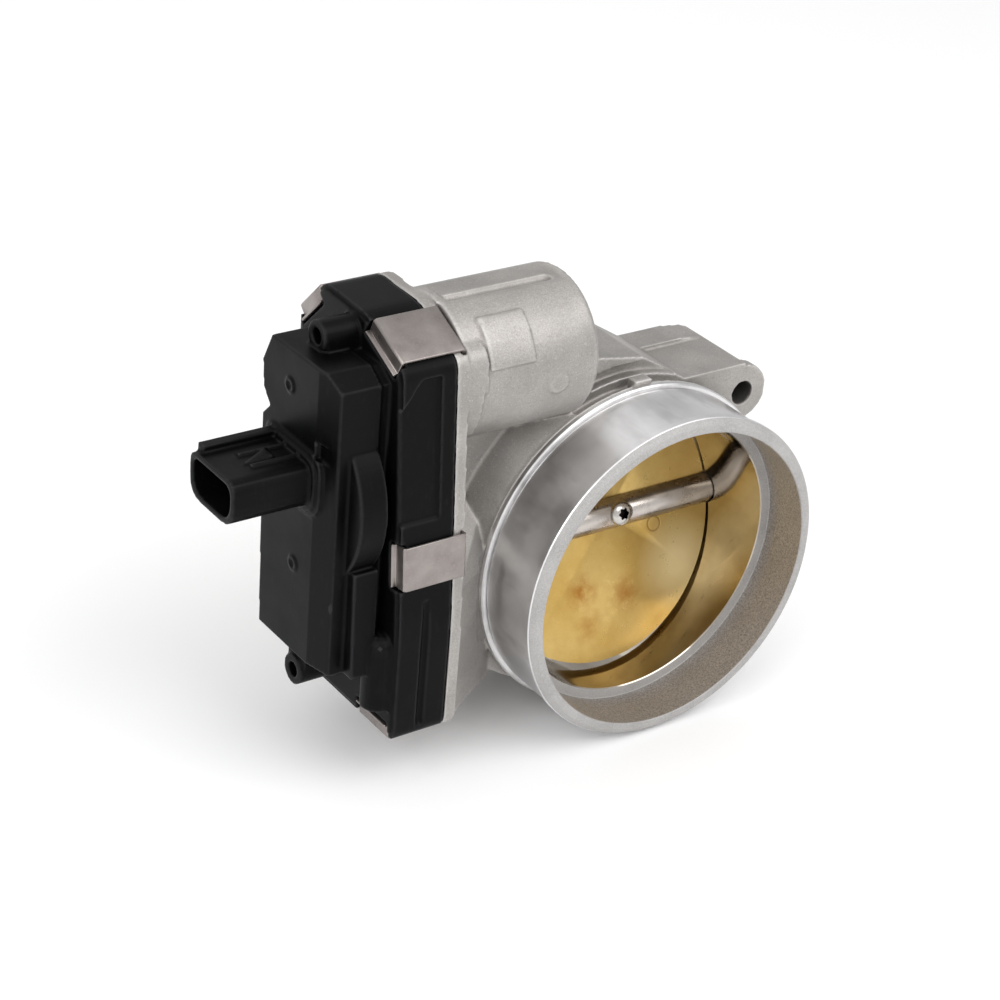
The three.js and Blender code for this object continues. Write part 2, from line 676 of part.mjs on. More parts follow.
// ---------------------------------------------------------------- gears
// Straight-sided teeth, thinned by the backlash, on a round blank. Angles from +Y towards +Z.
function gearOutline(teeth, firstTooth, toothCount, startAngle) {
  const pitch = (2 * Math.PI) / teeth
  const pitchR = (GEAR_MODULE * teeth) / 2
  const rootR = pitchR - 1.25 * GEAR_MODULE
  const tipR = pitchR + 0.85 * GEAR_MODULE
  const halfAtPitch = (pitch / 4) * 0.82
  const slope = Math.tan(20 * DEG)
  const halfAt = (r) => (halfAtPitch * pitchR - (r - pitchR) * slope) / r
  const points = []
  for (let i = firstTooth; i < firstTooth + toothCount; i += 1) {
    const middle = startAngle + i * pitch
    for (const [r, side] of [[rootR, -1], [tipR, -1], [tipR, 1], [rootR, 1]]) {
      const angle = middle + side * halfAt(r)
      points.push([r * Math.cos(angle), r * Math.sin(angle)])
    }
  }
  return points
}

// The directions in which the meshing pairs face each other at rest.
const shaftToIdler = Math.atan2(IDLER.z, IDLER.y - SHAFT_Y)
const idlerToMotor = Math.atan2(MOTOR_Z - IDLER.z, MOTOR_Y - IDLER.y)

function sectorGear() {
  const teethBehind = 5
  const teethAhead = 11
  const hubR = 9.5
  const teeth = gearOutline(SECTOR_TEETH, -teethBehind, teethBehind + teethAhead + 1, shaftToIdler)
  const fan = alongX(shapeOf([[0, 0], ...teeth]), SECTOR_X[0], SECTOR_X[1])
  const hub = barX(hubR, SECTOR_X[0] - 1.5, SECTOR_X[1], 0, 0)
  const stopArm = box(SECTOR_X[0], SECTOR_X[1], -3, 3, -24.5, 0).rotate([37, 0, 0])
  const windows = [0.12, 0.62].map((turn) => {
    const angle = shaftToIdler + turn
    return barX(3.4, SECTOR_X[0] - 2, SECTOR_X[1] + 2, 15.2 * Math.cos(angle), 15.2 * Math.sin(angle), 20)
  })
  const bore = barX(SHAFT_R + GAP - 0.1, SECTOR_X[0] - 4, SECTOR_X[1] + 2, 0, 0)
  return join(fan, hub, stopArm).subtract(join(bore, ...windows)).translate([0, SHAFT_Y, 0])
}

function idlerGear() {
  const smallPhase = shaftToIdler + Math.PI + Math.PI / SMALL_TEETH
  const small = alongX(
    shapeOf(gearOutline(SMALL_TEETH, 0, SMALL_TEETH, smallPhase)),
    SECTOR_X[0] - 2.2,
    SECTOR_X[1] + 0.6,
  )
  const large = alongX(
    shapeOf(gearOutline(LARGE_TEETH, 0, LARGE_TEETH, idlerToMotor)),
    LARGE_GEAR_X[0],
    LARGE_GEAR_X[1],
  )
  const recess = tubeX(20, 8, LARGE_GEAR_X[0] - 1, LARGE_GEAR_X[0] + 1.4, 0, 0, 40)
  const bore = barX(IDLER_PIN_R + GAP, LARGE_GEAR_X[0] - 2, SECTOR_X[1] + 4, 0, 0, 20)
  return join(small, large).subtract(join(recess, bore)).translate([0, IDLER.y, IDLER.z])
}

function motorPinion() {
  const phase = idlerToMotor + Math.PI + Math.PI / PINION_TEETH
  const teeth = alongX(
    shapeOf(gearOutline(PINION_TEETH, 0, PINION_TEETH, phase)),
    LARGE_GEAR_X[0] - 0.6,
    LARGE_GEAR_X[1] + 1.6,
  )
  const bore = barX(MOTOR_SHAFT_R + GAP - 0.1, LARGE_GEAR_X[0] - 2, LARGE_GEAR_X[1] + 4, 0, 0, 16)
  return teeth.subtract(bore).translate([0, MOTOR_Y, MOTOR_Z])
}

// ---------------------------------------------------------------- motor
const MOTOR_SHAFT_R = 1.6
const MOTOR_SCREW_R = 1.2
const MOTOR_SCREW_PITCH_R = 18.9
const EAR_TURN = 20
const END_PLATE_X = [MOTOR_CAN_LEFT - 2.6, MOTOR_CAN_LEFT - GAP]

function motorCan() {
  const wall = 1.4
  const inside = barX(MOTOR_CAN_R - wall, MOTOR_CAN_LEFT - 1, MOTOR_CAN_RIGHT - wall, MOTOR_Y, MOTOR_Z, 40)
  const shaftHole = barX(MOTOR_SHAFT_R + GAP, MOTOR_CAN_RIGHT - 3, MOTOR_CAN_RIGHT + 1, MOTOR_Y, MOTOR_Z, 16)
  return barX(MOTOR_CAN_R, MOTOR_CAN_LEFT, MOTOR_CAN_RIGHT, MOTOR_Y, MOTOR_Z, 40)
    .subtract(join(inside, shaftHole))
}

function motorEndPlate() {
  const [x0, x1] = END_PLATE_X
  const earEnd = MOTOR_SCREW_PITCH_R + 1.2
  const ears = box(x0, x1, -earEnd, earEnd, -2.6, 2.6).rotate([EAR_TURN, 0, 0])
  const plate = join(barX(MOTOR_CAN_R, x0, x1, 0, 0, 40), ears).translate([0, MOTOR_Y, MOTOR_Z])
  const vents = [-1, 1].map((side) => box(x0 - 1, x1 + 1, -3, 3, side * 10 - 2, side * 10 + 2)
    .translate([0, MOTOR_Y, MOTOR_Z]))
  const shaftHole = barX(MOTOR_SHAFT_R + GAP, x0 - 1, x1 + 1, MOTOR_Y, MOTOR_Z, 16)
  const screwHoles = motorScrewPlaces().map(([y, z]) => barX(MOTOR_SCREW_R + GAP, x0 - 1, x1 + 1, y, z, 12))
  return plate.subtract(join(shaftHole, ...vents, ...screwHoles))
}

function motorScrewPlaces() {
  return [-1, 1].map((side) => [
    MOTOR_Y + side * MOTOR_SCREW_PITCH_R * Math.cos(EAR_TURN * DEG),
    MOTOR_Z + side * MOTOR_SCREW_PITCH_R * Math.sin(EAR_TURN * DEG),
  ])
}

function motorMagnet(side) {
  const ring = tubeX(MOTOR_CAN_R - 1.7, MOTOR_CAN_R - 4.4, -68, -34, MOTOR_Y, MOTOR_Z, 40)
  const y0 = side > 0 ? MOTOR_Y + 6 : MOTOR_Y - 20
  return ring.intersect(box(-69, -33, y0, y0 + 14, MOTOR_Z - 20, MOTOR_Z + 20))
}

function motorRotor() {
  const shaft = barX(MOTOR_SHAFT_R, LARGE_GEAR_X[0] - 0.4, MOTOR_CAN_RIGHT - 0.2, MOTOR_Y, MOTOR_Z, 16)
  const slots = 6
  const core = barX(11.2, -64, -38, 0, 0, 36)
  const slot = box(-65, -37, 5, 13, -0.9, 0.9)
  const cuts = Array.from({ length: slots }, (_, i) => slot.rotate([(360 / slots) * i, 0, 0]))
  const commutator = barX(5, -70, -65, 0, 0, 18)
  const spacer = barX(3, -66, -30, 0, 0, 18)
  const rotor = join(core.subtract(join(...cuts)), commutator, spacer).translate([0, MOTOR_Y, MOTOR_Z])
  return join(shaft, rotor)
}

// ---------------------------------------------------------------- screws and stops
// Six-lobed drive socket.
function socketOutline(radius) {
  const lobes = 6
  return shapeOf(
    Array.from({ length: lobes * 2 }, (_, i) => {
      const r = i % 2 ? radius * 0.72 : radius
      const angle = (Math.PI * i) / lobes
      return [r * Math.cos(angle), r * Math.sin(angle)]
    }),
  )
}

// Drawn with the head towards -X of the seat at x = 0.
function screwX(headR, shankR, length) {
  const headHeight = headR * 0.5
  const crown = barX(headR * 0.72, headHeight * 0.5, headHeight, 0, 0, 24)
  const head = join(barX(headR, 0, headHeight * 0.55, 0, 0, 24), crown)
  const shank = barX(shankR, -length, 0.2, 0, 0, 16)
  const socket = alongX(socketOutline(headR * 0.45), headHeight * 0.4, headHeight + 1)
  return join(head, shank).subtract(socket).rotate([0, 0, 180])
}

// ---------------------------------------------------------------- throttle shaft and plate
const PLATE_THICK = 2.4
const PLATE_SCREWS_X = [8, -16]
const PLATE_SCREW_R = 1.9
const PLATE_HEAD_R = 3.9
const CLOSED_TILT = 13 * DEG

// Everything on the shaft is drawn with the plate square across the bore, then tilted to rest:
// the lower edge leans towards the inlet.
function atRest(body) {
  return body.rotate([-REST_TILT / DEG, 0, 0]).translate([0, SHAFT_Y, 0])
}

function throttleShaft() {
  const bar = barX(SHAFT_R, SHAFT_LEFT, SHAFT_RIGHT, 0, 0)
  const slotEnd = BORE_R + 0.2
  const slot = box(-slotEnd, slotEnd, -PLATE_THICK / 2 - GAP, PLATE_THICK / 2 + GAP, -6, 6)
  const seats = PLATE_SCREWS_X.map((x) => barY(PLATE_HEAD_R + GAP, -6, -SHAFT_R + 0.6, x, 0, 24))
  const holes = PLATE_SCREWS_X.map((x) => barY(PLATE_SCREW_R + GAP, -6, 6, x, 0, 16))
  return atRest(bar.subtract(join(slot, ...seats, ...holes)))
}

function throttlePlate() {
  const clearance = 0.4
  const alongShaft = BORE_R - clearance
  const acrossShaft = (BORE_R - clearance) / Math.cos(CLOSED_TILT) - 0.15
  const oval = new THREE.Shape().absellipse(0, 0, alongShaft, acrossShaft, 0, 2 * Math.PI)
  const disc = alongY(oval, -PLATE_THICK / 2, PLATE_THICK / 2, 36)
  const holes = PLATE_SCREWS_X.map((x) => barY(PLATE_SCREW_R + GAP, -6, 6, x, 0, 16))
  return atRest(disc.subtract(join(...holes)))
}

function plateScrew(x) {
  const seat = -SHAFT_R + 0.6 - GAP
  const shankLength = SHAFT_R + 3.6
  return atRest(
    screwX(PLATE_HEAD_R, PLATE_SCREW_R, shankLength)
      .rotate([0, 0, 90])
      .translate([x, seat, 0]),
  )
}

// ---------------------------------------------------------------- return spring
// Torsion spring round the bearing boss, with a short straight tang at each end.
function returnSpring() {
  const wireR = 0.8
  const coilR = 12.4
  const turns = 3.5
  const x0 = SPRING_POCKET_FLOOR - wireR - GAP
  const x1 = JOINT_X - 1.2
  const steps = 56
  const points = Array.from({ length: steps + 1 }, (_, i) => {
    const t = i / steps
    const angle = 2 * Math.PI * turns * t
    return new THREE.Vector3(
      x0 + (x1 - x0) * t,
      SHAFT_Y + coilR * Math.cos(angle),
      coilR * Math.sin(angle),
    )
  })
  const path = new THREE.CatmullRomCurve3(points)
  const section = new THREE.Shape().absarc(0, 0, wireR, 0, 2 * Math.PI)
  return solid(new THREE.ExtrudeGeometry(section, { extrudePath: path, steps, curveSegments: 3 }))
}

// ---------------------------------------------------------------- sensor
function sensorBoard() {
  const [x0, x1] = BOARD_X
  const board = box(x0, x1, -34.6, -9, 8, 50)
  return board.subtract(box(x0 - 1, x1 + 1, -12, -8, 44, 51))
}

function sensorChip() {
  return box(BOARD_X[1] + GAP, BOARD_X[1] + 2.2, -24, -15, 12, 19)
}

// ---------------------------------------------------------------- assembly
addPiece('throttle_housing', throttleHousing(), 'castAluminium')
addPiece('gear_cover', gearCover(), 'blackPlastic')
addPiece('cover_seal', sealLoop(-0.1).intersect(box(JOINT_X, JOINT_X + 0.7, -60, 20, -60, 100)), 'rubber')
Object.entries(clips).forEach(([name, place]) => addPiece(name, clip(...place), 'springSteel'))
pinPlaces().forEach((place, i) => addPiece(`connector_pin_${i + 1}`, connectorPin(place), 'tinnedCopper'))
addPiece('sensor_board', sensorBoard(), 'circuitBoard')
addPiece('sensor_chip', sensorChip(), 'ferrite')

addPiece('motor_can', motorCan(), 'zincSteel')
addPiece('motor_end_plate', motorEndPlate(), 'zincSteel')
addPiece('motor_magnet_front', motorMagnet(-1), 'ferrite')
addPiece('motor_magnet_back', motorMagnet(1), 'ferrite')
motorScrewPlaces().forEach(([y, z], i) => {
  const screw = screwX(2.1, MOTOR_SCREW_R, 8).translate([END_PLATE_X[0] - GAP, y, z])
  addPiece(`motor_screw_${i + 1}`, screw, 'zincSteel')
})
addPiece('motor_rotor', motorRotor(), 'shaftSteel')
addPiece('motor_pinion', motorPinion(), 'bronze')

addPiece(
  'idler_pin',
  barX(IDLER_PIN_R, LARGE_GEAR_X[0] + 0.6, JOINT_X + 8, IDLER.y, IDLER.z, 20),
  'shaftSteel',
)
addPiece('idler_gear', idlerGear(), 'gearPlastic')
addPiece('sector_gear', sectorGear(), 'gearPlastic')
addPiece('sensor_magnet', tubeX(8.2, 4.4, SECTOR_X[0] - 5, SECTOR_X[0] - 1.8, SHAFT_Y, 0), 'ferrite')
addPiece('return_spring', returnSpring(), 'springSteel')

addPiece('throttle_shaft', throttleShaft(), 'shaftSteel')
addPiece('throttle_plate', throttlePlate(), 'brassPlate')
PLATE_SCREWS_X.forEach((x, i) => addPiece(`plate_screw_${i + 1}`, plateScrew(x), 'zincSteel'))

const bearings = { shaft_bearing_left: LEFT_BEARING_X, shaft_bearing_right: RIGHT_BEARING_X }
Object.entries(bearings).forEach(([name, [x0, x1]]) => {
  addPiece(name, tubeX(BEARING_R, SHAFT_R + GAP, x0, x1, SHAFT_Y, 0), 'zincSteel')
})
addPiece('shaft_seal', tubeX(BEARING_R, SHAFT_R + GAP, -60.4, -57.3, SHAFT_Y, 0), 'rubber')
addPiece('shaft_end_plug', barX(BEARING_R, 52, 53.4, SHAFT_Y, 0), 'zincSteel')
addPiece('closed_stop', barX(1.5, SECTOR_X[0], JOINT_X + 7, SHAFT_Y + 21, -16, 16), 'shaftSteel')

export default part
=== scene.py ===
"""Looks of an electronic throttle body, built round its CAD frame.

Metres, +Y along the bore towards the manifold, +X along the throttle shaft, +Z up. The casting and
the moulded cover are remeshed from their CAD solids so that every edge gets a small cast radius,
the turned bore and inlet are lathed afresh, and sheet metal and screws get bevelled edges.
"""

import json
import math

import bmesh
import bpy
from mathutils import Matrix, Vector


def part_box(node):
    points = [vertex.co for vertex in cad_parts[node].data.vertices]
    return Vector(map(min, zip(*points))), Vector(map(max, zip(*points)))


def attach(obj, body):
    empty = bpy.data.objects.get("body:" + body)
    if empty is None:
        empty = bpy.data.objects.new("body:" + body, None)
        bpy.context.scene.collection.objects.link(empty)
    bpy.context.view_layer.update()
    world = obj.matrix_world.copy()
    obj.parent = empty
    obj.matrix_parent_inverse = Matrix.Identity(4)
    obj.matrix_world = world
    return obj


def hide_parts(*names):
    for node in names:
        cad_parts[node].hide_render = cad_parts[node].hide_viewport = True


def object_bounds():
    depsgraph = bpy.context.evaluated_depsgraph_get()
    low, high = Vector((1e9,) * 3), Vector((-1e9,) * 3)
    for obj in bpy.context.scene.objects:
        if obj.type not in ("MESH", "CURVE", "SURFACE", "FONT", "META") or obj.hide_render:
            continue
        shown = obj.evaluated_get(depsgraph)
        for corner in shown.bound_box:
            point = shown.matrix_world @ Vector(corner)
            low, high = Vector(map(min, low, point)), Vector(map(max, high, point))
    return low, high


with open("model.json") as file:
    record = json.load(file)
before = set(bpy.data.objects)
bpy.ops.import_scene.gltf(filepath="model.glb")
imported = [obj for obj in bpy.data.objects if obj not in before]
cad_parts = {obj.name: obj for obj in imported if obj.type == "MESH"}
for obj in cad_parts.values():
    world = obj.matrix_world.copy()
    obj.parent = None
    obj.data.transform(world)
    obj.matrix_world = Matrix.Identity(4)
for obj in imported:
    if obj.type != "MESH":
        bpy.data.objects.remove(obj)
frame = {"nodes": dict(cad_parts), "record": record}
cad_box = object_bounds()

MM = 0.001
bodies = {node: body for body, nodes in frame["record"]["behaviour"]["bodies"].items() for node in nodes}
slots = {part["node"]: part["material_slot"] for part in frame["record"]["subparts"]}

REST_TILT = math.radians(19)  # lean of the plate at rest, from square across the bore
BOLT_HOLE_R = 3.6

# Marks on the plate, placed by x and z in millimetres.
STAINS = [  # x, z, size, strength
    (-6.8, -20.0, 5.5, 0.85),
    (8.9, -23.7, 6.0, 0.7),
    (-5.6, -30.2, 5.0, 0.45),
]
PLATE_STAMP = (22.2, -6.1)
STAMP_R = 2.3
# Centre of the painted highlight on the plate.
PAINTED_HIGHLIGHT_SPOT = (30, -19)
PLATE_FACE = 1.3  # from the middle of the plate to just before its front face
DISH_START, DISH_END = 22, 44  # the plate's face curls back between these radii


# ---------------------------------------------------------------- node materials
class Look:
    """A node material round one Principled shader, built up in small steps."""

    def __init__(self, name, **sockets):
        self.material = bpy.data.materials.new(name)
        self.material.use_nodes = True
        self.tree = self.material.node_tree
        self.shader = self.tree.nodes["Principled BSDF"]
        for socket, value in sockets.items():
            self.shader.inputs[socket.replace("_", " ")].default_value = value
        self.place = self.node("ShaderNodeTexCoord").outputs["Object"]

    def node(self, kind, **settings):
        made = self.tree.nodes.new(kind)
        for setting, value in settings.items():
            setattr(made, setting, value)
        return made

    def feed(self, socket, source):
        """Puts a number, a colour or another node's output into a socket."""
        if isinstance(source, bpy.types.NodeSocket):
            self.tree.links.new(source, socket)
        else:
            socket.default_value = source

    def stretched(self, scale):
        mapping = self.node("ShaderNodeMapping")
        self.feed(mapping.inputs["Vector"], self.place)
        mapping.inputs["Scale"].default_value = scale
        return mapping.outputs["Vector"]

    def noise(self, size, detail=3.0, roughness=0.5, stretch=None):
        """Soft noise from 0 to 1 whose blobs are about size metres across."""
        made = self.node("ShaderNodeTexNoise")
        self.feed(made.inputs["Vector"], self.stretched(stretch) if stretch else self.place)
        made.inputs["Scale"].default_value = 1 / size
        made.inputs["Detail"].default_value = detail
        made.inputs["Roughness"].default_value = roughness
        return made.outputs["Fac"]

    def spread(self, source, low, high, out_low=0.0, out_high=1.0):
        """Maps low..high of the source to out_low..out_high, clamped."""
        made = self.node("ShaderNodeMapRange")
        self.feed(made.inputs["Value"], source)
        limits = {"From Min": low, "From Max": high, "To Min": out_low, "To Max": out_high}
        for socket, value in limits.items():
            made.inputs[socket].default_value = value
        return made.outputs["Result"]

    def calc(self, operation, a, b=0.0):
        made = self.node("ShaderNodeMath", operation=operation)
        self.feed(made.inputs[0], a)
        self.feed(made.inputs[1], b)
        return made.outputs["Value"]

    def mix(self, factor, a, b):
        made = self.node("ShaderNodeMix", data_type="RGBA")
        self.feed(made.inputs["Factor"], factor)
        self.feed(made.inputs["A"], a)
        self.feed(made.inputs["B"], b)
        return made.outputs["Result"]

    def distance(self, start, point):
        made = self.node("ShaderNodeVectorMath", operation="DISTANCE")
        self.feed(made.inputs[0], start)
        made.inputs[1].default_value = point
        return made.outputs["Value"]

    def near(self, centre, inner, outer):
        """1 within inner metres of a point, falling to 0 at outer."""
        return self.spread(self.distance(self.place, centre), inner, outer, 1.0, 0.0)

    def near_line(self, point, axis, inner, outer):
        """1 within inner metres of a line through the point along the axis, falling to 0 at outer."""
        flat = [0.0 if name == axis else 1.0 for name in "XYZ"]
        made = self.node("ShaderNodeVectorMath", operation="MULTIPLY")
        self.feed(made.inputs[0], self.place)
        made.inputs[1].default_value = flat
        gap = self.distance(made.outputs["Vector"], [a * b for a, b in zip(point, flat)])
        return self.spread(gap, inner, outer, 1.0, 0.0)

    def convex(self, low=0.505, high=0.56):
        """1 on outward edges of a finely divided mesh, where highlights are painted."""
        return self.spread(self.node("ShaderNodeNewGeometry").outputs["Pointiness"], low, high)

    def hollow(self, low=0.44, high=0.495):
        """1 in inward corners of a finely divided mesh."""
        return self.spread(self.node("ShaderNodeNewGeometry").outputs["Pointiness"], low, high, 1.0, 0.0)

    def bump(self, height, strength, depth, below=None):
        made = self.node("ShaderNodeBump")
        made.inputs["Strength"].default_value = strength
        made.inputs["Distance"].default_value = depth
        self.feed(made.inputs["Height"], height)
        if below:
            self.feed(made.inputs["Normal"], below)
        return made.outputs["Normal"]

    def finish(self, color, roughness, normal=None):
        self.feed(self.shader.inputs["Base Color"], color)
        self.feed(self.shader.inputs["Roughness"], roughness)
        if normal:
            self.feed(self.shader.inputs["Normal"], normal)
        return self.material


def rgb(red, green, blue):
    """Linear colour from display values of 0 to 255."""
    return tuple((v / 255) ** 2.2 for v in (red, green, blue)) + (1.0,)


def cast_aluminium(bolt_holes):
    """As-cast skin with grain, dimples and bright specks, with painted highlights on edges and painted
    shade in corners.
    """
    look = Look("cast_aluminium", Metallic=0.7)
    cloud = look.noise(16 * MM, detail=4)
    grain = look.noise(0.42 * MM, detail=4, roughness=0.75)
    speck = look.spread(look.noise(0.6 * MM, detail=2, roughness=0.8), 0.6, 0.7)
    dimple = look.spread(look.noise(1.1 * MM, detail=3, roughness=0.7), 0.56, 0.7)
    color = look.mix(look.spread(cloud, 0.35, 0.65), rgb(162, 159, 155), rgb(187, 183, 179))
    color = look.mix(look.spread(grain, 0.34, 0.66, 0.0, 0.75), color, rgb(140, 136, 132))
    color = look.mix(look.calc("MULTIPLY", dimple, 0.3), color, rgb(128, 122, 116))
    color = look.mix(look.calc("MULTIPLY", speck, 0.3), color, rgb(226, 223, 220))
    # Painted shade: inward corners are darkened.
    color = look.mix(look.calc("MULTIPLY", look.hollow(), 0.5), color, rgb(112, 104, 98))
    # Painted highlight: outward edges are lightened.
    color = look.mix(look.calc("MULTIPLY", look.convex(), 0.45), color, rgb(228, 226, 223))

    # The manifold face is milled flat, and the bolt holes get painted shade inside.
    along = look.node("ShaderNodeSeparateXYZ")
    look.feed(along.inputs[0], look.place)
    milled = look.spread(along.outputs["Y"], -0.5 * MM, -0.25 * MM)
    cutter_marks = look.noise(1.1 * MM, detail=2, stretch=(1, 1, 0.06))
    milled_color = look.mix(look.spread(cutter_marks, 0.35, 0.65), rgb(188, 187, 186), rgb(212, 211, 210))
    color = look.mix(milled, color, milled_color)
    # Painted shade darkens the inside of the bolt holes.
    inner, outer = (BOLT_HOLE_R + 0.15) * MM, (BOLT_HOLE_R + 0.45) * MM
    painted_hole_shade = look.calc("MAXIMUM", *(look.near_line(hole, "Y", inner, outer) for hole in bolt_holes))
    color = look.mix(look.calc("MULTIPLY", painted_hole_shade, 0.75), color, rgb(66, 62, 60))

    rough = look.spread(grain, 0.3, 0.7, 0.56, 0.42)
    rough = look.calc("SUBTRACT", rough, look.calc("MULTIPLY", milled, 0.14))
    as_cast = look.calc("SUBTRACT", 1.0, milled)
    pits = look.bump(look.calc("MULTIPLY", look.noise(2.2 * MM, detail=3), as_cast), 0.35, 0.14 * MM)
    normal = look.bump(look.calc("MULTIPLY", grain, as_cast), 0.7, 0.09 * MM, below=pits)
    normal = look.bump(look.calc("MULTIPLY", cutter_marks, milled), 0.3, 0.03 * MM, below=normal)
    return look.finish(color, rough, normal)


def turned_aluminium():
    """Bright lathe-turned surface with fine rings, haze and duller smears."""
    look = Look("turned_aluminium", Metallic=1.0)
    rings = look.noise(0.5 * MM, detail=2, stretch=(0.02, 1, 0.02))
    haze = look.noise(15 * MM, detail=3)
    smear = look.noise(9 * MM, detail=3, stretch=(1, 0.35, 1))
    color = look.mix(look.spread(haze, 0.3, 0.7), rgb(212, 211, 211), rgb(236, 235, 235))
    color = look.mix(look.spread(smear, 0.52, 0.7, 0.0, 0.45), color, rgb(168, 165, 164))
    rough = look.spread(haze, 0.35, 0.7, 0.28, 0.42)
    normal = look.bump(rings, 0.1, 0.02 * MM)
    return look.finish(color, rough, normal)


def faced_aluminium():
    """Pale matt face of the rim and the ledge."""
    look = Look("faced_aluminium", Metallic=0.12)
    grain = look.noise(0.45 * MM, detail=3, roughness=0.75)
    cloud = look.noise(10 * MM, detail=2)
    color = look.mix(look.spread(cloud, 0.3, 0.7), rgb(148, 146, 144), rgb(164, 162, 160))
    color = look.mix(look.spread(grain, 0.4, 0.7, 0.0, 0.7), color, rgb(188, 186, 184))
    normal = look.bump(grain, 0.4, 0.04 * MM)
    return look.finish(color, look.spread(grain, 0.3, 0.7, 0.5, 0.62), normal)


def blasted_counterbore():
    """Coarse, sparkling grain inside the counterbore."""
    look = Look("blasted_counterbore", Metallic=0.75)
    grain = look.noise(0.5 * MM, detail=4, roughness=0.8)
    cloud = look.noise(12 * MM, detail=2)
    color = look.mix(look.spread(grain, 0.38, 0.62), rgb(142, 136, 131), rgb(202, 196, 190))
    color = look.mix(look.spread(cloud, 0.4, 0.7, 0.0, 0.3), color, rgb(160, 153, 142))
    normal = look.bump(grain, 0.7, 0.08 * MM)
    return look.finish(color, look.spread(grain, 0.3, 0.7, 0.58, 0.44), normal)


def polished_bore():
    """Warm, nearly mirror-like bore with faint turning lines."""
    look = Look("polished_bore", Metallic=1.0)
    haze = look.noise(9 * MM, detail=3)
    color = look.mix(look.spread(haze, 0.3, 0.7), rgb(164, 154, 140), rgb(184, 176, 164))
    lines = look.noise(0.4 * MM, detail=2, stretch=(0.02, 1, 0.02))
    return look.finish(color, look.spread(haze, 0.3, 0.75, 0.06, 0.15), look.bump(lines, 0.06, 0.02 * MM))


def black_plastic():
    """Glass-filled moulding: nearly black, with painted highlights along the edges, with short fibres."""
    look = Look("black_plastic", Specular_IOR_Level=0.09)
    cloud = look.noise(16 * MM, detail=3)
    grain = look.noise(0.45 * MM, detail=3, roughness=0.6)
    fibre = look.noise(1.4 * MM, detail=2, stretch=(1, 1, 0.25))
    color = look.mix(look.spread(cloud, 0.3, 0.7), rgb(11, 11, 12), rgb(18, 18, 19))
    # Painted highlight: outward edges are lightened.
    color = look.mix(look.calc("MULTIPLY", look.convex(), 0.5), color, rgb(62, 62, 64))
    color = look.mix(look.spread(fibre, 0.6, 0.75, 0.0, 0.3), color, rgb(32, 32, 33))
    rough = look.spread(cloud, 0.3, 0.7, 0.34, 0.48)
    waves = look.bump(look.noise(7 * MM, detail=2), 0.2, 0.12 * MM)
    return look.finish(color, rough, look.bump(grain, 0.3, 0.03 * MM, below=waves))


def plated_strip():
    """Plated spring strip with a light haze."""
    look = Look("plated_strip", Metallic=0.9)
    haze = look.noise(7 * MM, detail=3)
    fine = look.noise(0.6 * MM, detail=3, roughness=0.7)
    color = look.mix(look.spread(haze, 0.3, 0.7), rgb(136, 128, 125), rgb(156, 149, 145))
    color = look.mix(look.spread(fine, 0.5, 0.75, 0.0, 0.3), color, rgb(176, 168, 164))
    rough = look.spread(haze, 0.3, 0.7, 0.26, 0.36)
    return look.finish(color, rough, look.bump(fine, 0.1, 0.02 * MM))


def golden_brass(plate_low, plate_high):
    """Tarnished plate with stains, a round stamp and a painted highlight standing in for a reflection, its
    rim dished.
    """
    look = Look("golden_brass")
    middle = (plate_low + plate_high) / 2
    lean = math.tan(REST_TILT)

    def on_plate(x, z):
        return Vector((x * MM, middle.y + z * MM * lean - PLATE_FACE * MM, z * MM))

    cloud = look.noise(18 * MM, detail=3)
    mottle = look.noise(3.4 * MM, detail=4, roughness=0.6)
    fine = look.noise(0.7 * MM, detail=3, roughness=0.6)
    color = look.mix(look.spread(cloud, 0.3, 0.7), rgb(194, 158, 86), rgb(214, 184, 116))
    color = look.mix(look.spread(mottle, 0.45, 0.8, 0.0, 0.25), color, rgb(188, 148, 80))
    color = look.mix(look.spread(fine, 0.5, 0.8, 0.0, 0.12), color, rgb(230, 208, 154))
    # Painted highlight: a pale, less metallic patch standing in for a reflection off the dished rim.
    bright = look.near(on_plate(*PAINTED_HIGHLIGHT_SPOT), 3 * MM, 16 * MM)
    color = look.mix(look.calc("MULTIPLY", bright, 0.8), color, rgb(244, 222, 168))
    look.feed(look.shader.inputs["Metallic"], look.spread(bright, 0.0, 1.0, 0.88, 0.5))
    for x, z, size, strength in STAINS:
        patch = look.near(on_plate(x, z), 0.5 * MM, size * 1.25 * MM)
        patch = look.calc("MULTIPLY", patch, look.spread(mottle, 0.32, 0.58, 0.25, 1.0))
        color = look.mix(look.calc("MULTIPLY", patch, strength), color, rgb(160, 100, 34))
    from_ring = look.calc("SUBTRACT", look.distance(look.place, on_plate(*PLATE_STAMP)), STAMP_R * MM)
    stamp = look.spread(look.calc("ABSOLUTE", from_ring), 0.15 * MM, 0.4 * MM, 1.0, 0.0)
    color = look.mix(look.calc("MULTIPLY", stamp, 0.6), color, rgb(140, 100, 48))

    from_middle = look.distance(look.place, on_plate(0, 0))
    dish = look.calc("POWER", look.spread(from_middle, DISH_START * MM, DISH_END * MM), 2.2)
    rough = look.spread(mottle, 0.3, 0.7, 0.26, 0.36)
    normal = look.bump(dish, 1.0, 1.3 * MM)
    normal = look.bump(fine, 0.06, 0.03 * MM, below=normal)
    normal = look.bump(look.calc("SUBTRACT", 1.0, stamp), 0.4, 0.1 * MM, below=normal)
    return look.finish(color, rough, normal)


